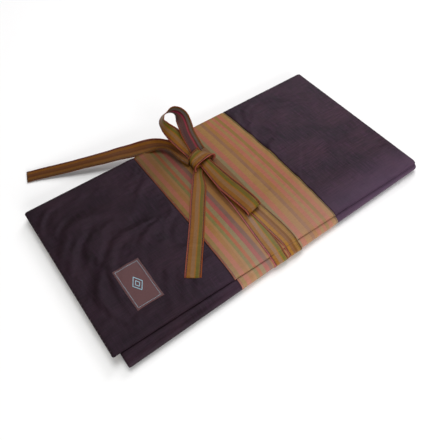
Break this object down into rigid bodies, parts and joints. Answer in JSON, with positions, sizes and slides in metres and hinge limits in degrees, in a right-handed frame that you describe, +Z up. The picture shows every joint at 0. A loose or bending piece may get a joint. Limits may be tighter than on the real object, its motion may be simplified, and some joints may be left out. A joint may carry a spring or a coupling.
{
  "type": "brush roll case",
  "caption": "Silk case for long brushes, folded in three and tied with its own ribbon in a bow; sewn pockets inside, open at one end.",
  "frame": {"origin": "middle of the footprint of the closed case, on the surface that it lies on", "axes": "+X along the brushes, from the closed ends of the pockets to their open ends; +Y from the front fold to the back fold; +Z up"},
  "size_m": [0.4, 0.292, 0.0607],
  "materials": {
    "dark_silk": "dark aubergine silk taffeta, fine plain weave, soft sheen",
    "striped_silk": "silk with many lengthwise stripes: ochre, rose, tan, green, red, plum",
    "ribbon_silk": "stitched ribbon of the striped silk with rose edges",
    "lining_silk": "plain bronze-coloured silk lining",
    "pocket_silk": "plain wine-coloured silk, sewn in rows",
    "wadding": "thin off-white wadding",
    "label_cloth": "brown woven label with a pale blue-grey border"
  },
  "bodies": {
    "back_leaf": {"back_leaf_cloth_left": "dark_silk", "back_leaf_cloth_band": "striped_silk", "back_leaf_cloth_right": "dark_silk", "back_leaf_wadding": "wadding", "back_leaf_lining": "lining_silk", "tie_under_a": "ribbon_silk", "tie_under_b": "ribbon_silk", "pocket_panel": "pocket_silk", "pocket_binding": "striped_silk", "pocket_closed_end": "pocket_silk", "pocket_seam_1": "pocket_silk", "pocket_seam_2": "pocket_silk", "pocket_seam_3": "pocket_silk", "pocket_seam_4": "pocket_silk", "pocket_seam_5": "pocket_silk", "pocket_seam_6": "pocket_silk", "pocket_seam_7": "pocket_silk", "pocket_seam_8": "pocket_silk", "pocket_seam_9": "pocket_silk"},
    "back_spine": {"back_spine_cloth_left": "dark_silk", "back_spine_cloth_band": "striped_silk", "back_spine_cloth_right": "dark_silk", "back_spine_wadding": "wadding", "back_spine_lining": "lining_silk", "tie_back_a": "ribbon_silk", "tie_back_b": "ribbon_silk"},
    "cover": {"cover_cloth_left": "dark_silk", "cover_cloth_band": "striped_silk", "cover_cloth_right": "dark_silk", "cover_wadding": "wadding", "cover_lining": "lining_silk", "label": "label_cloth", "tie_over_a": "ribbon_silk", "tie_over_b": "ribbon_silk", "tie_knot": "ribbon_silk", "tie_loop_upper": "ribbon_silk", "tie_loop_lower": "ribbon_silk", "tie_tail_front": "ribbon_silk", "tie_tail_left": "ribbon_silk"},
    "front_spine": {"front_spine_cloth_left": "dark_silk", "front_spine_cloth_band": "striped_silk", "front_spine_cloth_right": "dark_silk", "front_spine_wadding": "wadding", "front_spine_lining": "lining_silk", "tie_front_a": "ribbon_silk", "tie_front_b": "ribbon_silk"},
    "inner_flap": {"inner_flap_cloth_left": "dark_silk", "inner_flap_cloth_band": "striped_silk", "inner_flap_cloth_right": "dark_silk", "inner_flap_wadding": "wadding", "inner_flap_lining": "lining_silk", "tie_step_a": "ribbon_silk", "tie_step_b": "ribbon_silk"}
  },
  "joints": [
    {"name": "back_fold_lower", "type": "hinge", "parent": "back_leaf", "child": "back_spine", "pos_m": [0, 0.1126, 0], "axis": [-1, 0, 0], "range_deg": [0, 90]},
    {"name": "back_fold_upper", "type": "hinge", "parent": "back_spine", "child": "cover", "pos_m": [0, 0.1126, 0.014], "axis": [-1, 0, 0], "range_deg": [0, 90], "deforming": ["tie_loop_upper", "tie_loop_lower", "tie_tail_left"]},
    {"name": "front_fold_lower", "type": "hinge", "parent": "back_leaf", "child": "front_spine", "pos_m": [0, -0.10718, 0], "axis": [0.9995, 0.0324, 0], "range_deg": [0, 90]},
    {"name": "front_fold_upper", "type": "hinge", "parent": "front_spine", "child": "inner_flap", "pos_m": [0, -0.10718, 0.0111], "axis": [0.9995, 0.0324, 0], "range_deg": [0, 90]}
  ],
  "couplings": [
    {"joint": "back_fold_upper", "follows": "back_fold_lower", "ratio": 1},
    {"joint": "front_fold_lower", "follows": "back_fold_lower", "ratio": 1},
    {"joint": "front_fold_upper", "follows": "back_fold_lower", "ratio": 1}
  ]
}
